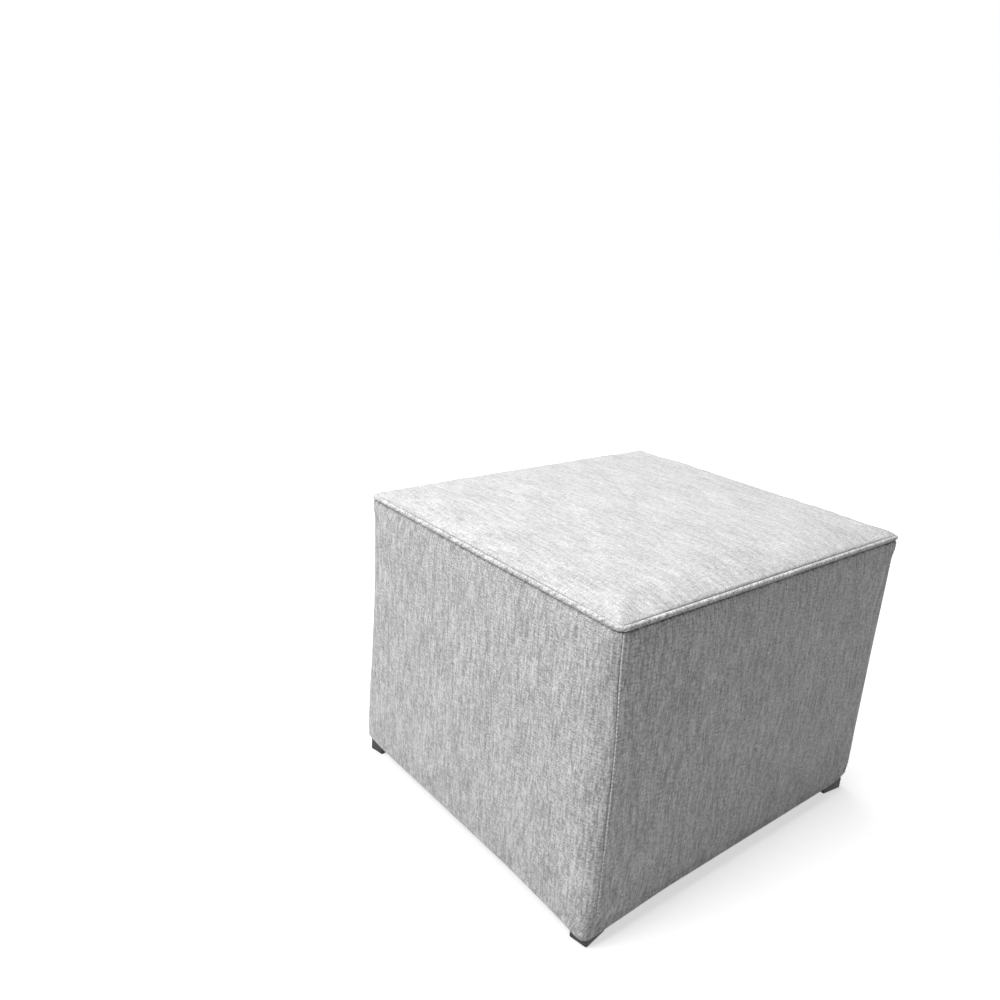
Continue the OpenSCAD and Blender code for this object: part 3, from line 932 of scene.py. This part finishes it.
staple = {
    "crown": 0.0105, "leg": 0.006, "wire": 0.0009, "bend": 0.0009,
    "pitch": 0.042,  # from staple to staple
    "inset": 0.0055,  # from the dust cover's edge
    "footGap": 0.004,  # no staple nearer to a foot than this
    "tilt": 0.45, "waves": 50,  # how far they are driven askew, and how often that changes
    "sunk": 0.2,  # share of the wire that lies in the cloth
}


def picked(geom, kind):
    return [part for part in geom if isinstance(part, kind)]


def stapleShape():
    # one staple: a square wire drawn along a leg, a bend, the crown, a bend and a leg
    crown, leg, bend = staple["crown"], staple["leg"], staple["bend"]
    shape = bmesh.new()
    bmesh.ops.create_grid(shape, x_segments=1, y_segments=1, size=staple["wire"] / 2,
                          matrix=Matrix.Translation((-crown / 2, 0, leg)))
    end = shape.faces[:]

    def draw(step):
        geom = bmesh.ops.extrude_face_region(shape, geom=end)["geom"]
        bmesh.ops.translate(shape, verts=picked(geom, bmesh.types.BMVert), vec=step)
        return picked(geom, bmesh.types.BMFace)

    def turn(centre):
        made = bmesh.ops.spin(shape, geom=end, cent=centre, axis=(0, -1, 0), angle=math.pi / 2, steps=3)
        return picked(made["geom_last"], bmesh.types.BMFace)
    end = draw((0, 0, bend - leg))
    end = turn((bend - crown / 2, 0, bend))
    end = draw((crown - 2 * bend, 0, 0))
    end = turn((crown / 2 - bend, 0, bend))
    end = draw((0, 0, leg - bend))
    bmesh.ops.recalc_face_normals(shape, faces=shape.faces)
    return meshFrom(shape, "staple")


def addStaples():
    footBoxes = [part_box(name) for name in nodes if name.startswith("foot_") and name != "foot_screws"]
    one = stapleShape()
    work = bmesh.new()
    gap = staple["footGap"] + staple["crown"] / 2
    height = dustLow.z - dust["foldDrop"] - staple["wire"] * staple["sunk"]
    for along in spread(0, roundLength, staple["pitch"])[:-1]:
        place, outward = planPlace(along, dustInset + staple["inset"])
        if any(low.x - gap < place.x < high.x + gap and low.y - gap < place.y < high.y + gap
               for low, high in footBoxes):
            continue
        lean = staple["tilt"] * noise.noise(Vector((*(place * staple["waves"]), 2.0)))
        before = len(work.verts)
        work.from_mesh(one)
        work.verts.ensure_lookup_table()
        turn = turnedOut(outward) @ Matrix.Rotation(lean, 4, "Z")
        bmesh.ops.transform(work, verts=work.verts[before:],
                            matrix=Matrix.Translation((*place, height)) @ turn)
    bmesh.ops.recalc_face_normals(work, faces=work.faces)
    piece = finishObject("dust_cover_staples", meshFrom(work, "staples"), stapleSteel, sharp=40)


addDustCover()
addStaples()
print("underside made")


# Inside: wadding, foam, felt and the welt's cord, each just clear of what covers it

inside = {
    "clear": 0.0005,
    "follow": 0.004,  # how far a padding's face may be moved to follow its cover
    "facing": 0.75,  # and how nearly it has to face as the cover does
    "topWadding": 0.0046,
    "sideWadding": 0.0052,
    "rollShares": (0.15, 0.3, 0.45),  # its rows round the bottom roll
    "foamInset": 0.0078,  # from the body's face to the foam
    "drawnIn": 0.0012,  # how far the foam's sides draw in at mid height
    "slabEdge": 0.0015,  # how far the slab's cut edges are eased
    "felt": 0.0026,
    "feltDip": 0.0006,  # how far the felt dips between the springs
    "springHalf": 0.02, "dipWidth": 0.03, "dipEnd": 0.05,  # where it starts to, and over which widths
    "feltGrid": 0.008,
    "cordGrid": 0.006,
    "cordAround": 10,  # faces round the cord
    "grid": 0.009,
}
underCloth = panel["cloth"] + inside["clear"]


def restUnder(piece, cover, depth):
    # moves a padding's face to lie at a depth under its cover's face
    tree = surfaceTree(cover)
    piece.data.update()
    facing = [vertex.normal.copy() for vertex in piece.data.vertices]
    for vertex, own in zip(piece.data.vertices, facing):
        spot, normal, _, _ = tree.find_nearest(vertex.co)
        if spot is None or normal.dot(own) < inside["facing"]:
            continue
        gap = (spot - vertex.co).dot(normal)
        if abs(gap - depth) < inside["follow"]:
            vertex.co += normal * (gap - depth)


def addTopWadding():
    inset = welt["flangeEnd"] + inside["clear"]
    mesh = crownGrid(inset, topEdgeHeight - underCloth, coverTop - underCloth, inside["grid"])
    piece = finishObject("top_wadding_layer", mesh, fibreWadding)
    restUnder(piece, topCover, underCloth)
    thicken(piece, inside["topWadding"])
    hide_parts("top_wadding")


def addCrownFoam():
    # the crowned foam, closed by walls down to a flat base on the slab
    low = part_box("crown_foam")[0].z
    depth = panel["cloth"] + inside["topWadding"] + 3 * inside["clear"]
    edge = topEdgeHeight - depth - inside["topWadding"]
    mesh = crownGrid(inside["foamInset"], edge, coverTop - depth, inside["grid"])
    piece = finishObject("crown_foam_layer", mesh, seatFoam)
    restUnder(piece, topCover, depth)
    work = bmesh.new()
    work.from_mesh(mesh)
    for base in ((low + edge) / 2, low):
        rim = [e for e in work.edges if e.is_boundary]
        for vertex in picked(bmesh.ops.extrude_edge_only(work, edges=rim)["geom"], bmesh.types.BMVert):
            vertex.co.z = base
    bmesh.ops.edgeloop_fill(work, edges=[e for e in work.edges if e.is_boundary])
    bmesh.ops.recalc_face_normals(work, faces=work.faces)
    work.to_mesh(mesh)
    work.free()
    mesh.set_sharp_from_angle(angle=math.radians(50))
    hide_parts("crown_foam")


def addSeatSlab():
    # the flat slab, with cut edges eased and sides drawn in a little
    low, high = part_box("seat_foam")
    shrink = Vector((2 * inside["clear"], 2 * inside["clear"], 0))
    middle, half = (low + high) / 2, (high.z - low.z) / 2
    work = bmesh.new()
    bmesh.ops.create_cube(work, size=1, matrix=Matrix.Translation(middle)
                          @ Matrix.Diagonal((*(high - low - shrink), 1)))
    upright = [e for e in work.edges if abs(e.verts[0].co.z - e.verts[1].co.z) > half]
    bmesh.ops.subdivide_edges(work, edges=upright, cuts=5, use_grid_fill=True)
    for vertex in work.verts:
        pull = inside["drawnIn"] * (1 - ((vertex.co.z - middle.z) / half) ** 2)
        vertex.co.x -= math.copysign(pull, vertex.co.x)
        vertex.co.y -= math.copysign(pull, vertex.co.y)
    easeEdges(work, 50, inside["slabEdge"])
    piece = finishObject("seat_foam_slab", meshFrom(work, "slab"), seatFoam, sharp=40)
    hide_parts("seat_foam")


def addSideWadding(side, label):
    start, end, sign = sideSpan(side)
    low = body["hemHeight"] + panel["cloth"]
    heights = spread(panelTop - underCloth, low + rollHeight, inside["grid"])
    rows = [("upright", 0, height) for height in heights]
    rows += [("roll", share, 0) for share in inside["rollShares"]]

    def place(along, row):
        inset, height, flat = profilePlace(row, (bottomEdge(along)[0], 0.0), low)
        turned = besideSeams(along, height, start, end, sign)
        spot = planPlace(turned, underCloth + inset, cornerRounder(height))[0]
        return Vector((*spot, height)), (along, flat)
    edge = panel["slit"] + underCloth
    mesh = clothGrid(spread(start + edge, end - edge, inside["grid"]), rows, place, "wall")
    piece = finishObject(f"side_wadding_layer_{label}", mesh, fibreWadding)
    restUnder(piece, sideCovers[side], underCloth)
    thicken(piece, inside["sideWadding"])
    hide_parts(f"side_wadding_{label}")


def addFelt():
    low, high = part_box("felt_insulator")
    springs = [name for name in nodes if name.startswith("sinuous_spring")]
    middles = [sum(corner.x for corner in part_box(name)) / 2 for name in springs]

    def place(x, y):
        nearest = min(abs(x - middle) for middle in middles)
        dip = inside["feltDip"] * smooth((nearest - inside["springHalf"]) / inside["dipWidth"])
        dip *= smooth((high.y - abs(y)) / inside["dipEnd"]) * smooth((high.x - abs(x)) / inside["dipWidth"])
        return Vector((x, y, high.z - inside["clear"] - dip)), (x, y)
    grid = inside["feltGrid"]
    mesh = clothGrid(spread(low.x, high.x, grid), spread(low.y, high.y, grid), place)
    piece = finishObject("felt_sheet", mesh, pressedFelt)
    thicken(piece, inside["felt"] - inside["feltDip"], levels=0)
    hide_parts("felt_insulator")


def addWeltCord():
    low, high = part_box("welt_cord")
    radius = (high.z - low.z) / 2 - inside["clear"] / 2

    def place(along, angle):
        centre = planPlace(along, weltInset - radius * math.cos(angle))[0]
        return Vector((*centre, welt["height"] + radius * math.sin(angle))), (along, radius * angle)
    angles = spread(2 * math.pi, 0, 2 * math.pi / inside["cordAround"])
    mesh = clothGrid(spread(0, roundLength, inside["cordGrid"]), angles, place, "tube")
    piece = finishObject("welt_cord_core", mesh, cordFibre)
    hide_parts("welt_cord")


addTopWadding()
addCrownFoam()
addSeatSlab()
for side, label in enumerate(sideNames):
    addSideWadding(side, label)
addFelt()
addWeltCord()
print("inside made")


# Finishes of the frame's own nodes

nodeFinishes = {
    ("corner_post", "bottom_rail", "top_rail"): frameWood,
    ("frame_dowels",): dowelWood,
    ("backing_board",): backingBoard,
    ("sinuous_spring", "spring_clips", "tie_rods", "tie_clips"): springSteel,
    ("clip_screws", "foot_screws"): stapleSteel,
}
for nodeName, node in nodes.items():
    for starts, finish in nodeFinishes.items():
        if nodeName.startswith(starts) and not node.hide_render:
            node.data.materials.clear()
            node.data.materials.append(finish)
print("frame finished")


# Stage

stage = {
    "floorHalf": 8.0, "floorColour": 0.72, "floorRoughness": 0.9,
    "glowNear": 0.62, "glowFar": 1.0,  # the white that only the camera and mirrors see
    "near": 0.45, "far": 1.7,  # from the middle of the floor
}


def seenByEye(tree):
    # 1 where the camera or a mirror looks, 0 for the light that falls on things
    rays = tree.nodes.new("ShaderNodeLightPath").outputs
    seen = mathNode(tree, "MAXIMUM", rays["Is Camera Ray"], rays["Is Glossy Ray"])
    return mathNode(tree, "MAXIMUM", seen, rays["Is Transmission Ray"])


def addStage():
    work = bmesh.new()
    bmesh.ops.create_grid(work, x_segments=1, y_segments=1, size=stage["floorHalf"])
    floor = addObject("floor", meshFrom(work, "floor"))
    material = bpy.data.materials.new("studioFloor")
    material.use_nodes = True
    tree = material.node_tree
    shader = tree.nodes["Principled BSDF"]
    setInputs(shader, {"Base Color": (*grey(stage["floorColour"]), 1), "Roughness": stage["floorRoughness"],
                       "Specular IOR Level": 0.0, "Emission Color": (1, 1, 1, 1)})
    # away from the ottoman the lamps fade, and the glow makes up for it
    where = tree.nodes.new("ShaderNodeTexCoord")
    distance = tree.nodes.new("ShaderNodeVectorMath")
    distance.operation = "LENGTH"
    wire(tree, where.outputs["Object"], distance.inputs[0])
    glow = spreadOf(tree, distance.outputs["Value"], stage["near"], stage["far"],
                    stage["glowNear"], stage["glowFar"])
    wire(tree, times(tree, seenByEye(tree), glow), shader.inputs["Emission Strength"])
    floor.data.materials.append(material)
    world = bpy.data.worlds.new("studio")
    bpy.context.scene.world = world
    world.use_nodes = True
    sky = world.node_tree
    background = sky.nodes["Background"]
    background.inputs["Color"].default_value = (1, 1, 1, 1)
    white = mathNode(sky, "ADD", times(sky, seenByEye(sky), 1.0 - lights["world"]), lights["world"])
    wire(sky, white, background.inputs["Strength"])


lights = {
    "world": 0.03,
    "aim": (0, 0, 0.2),
    "lamps": [
        {"name": "key", "place": (-2.0, 0.5, 2.1), "size": 1.6, "watts": 52.5},
        {"name": "overhead", "place": (0.0, 0.35, 2.5), "size": 1.6, "watts": 56},
        {"name": "fill", "place": (0.6, -2.6, 1.2), "size": 2.0, "watts": 3.5},
    ],
}


def addLights():
    for lamp in lights["lamps"]:
        data = bpy.data.lights.new(lamp["name"], "AREA")
        data.size = lamp["size"]
        data.energy = lamp["watts"]
        light = addObject(lamp["name"], data)
        place = Vector(lamp["place"])
        turn = (place - Vector(lights["aim"])).to_track_quat("Z", "Y")
        light.matrix_world = Matrix.Translation(place) @ turn.to_matrix().to_4x4()


addStage()
addLights()
bpy.context.scene.view_settings.view_transform = "Standard"
print("stage made")
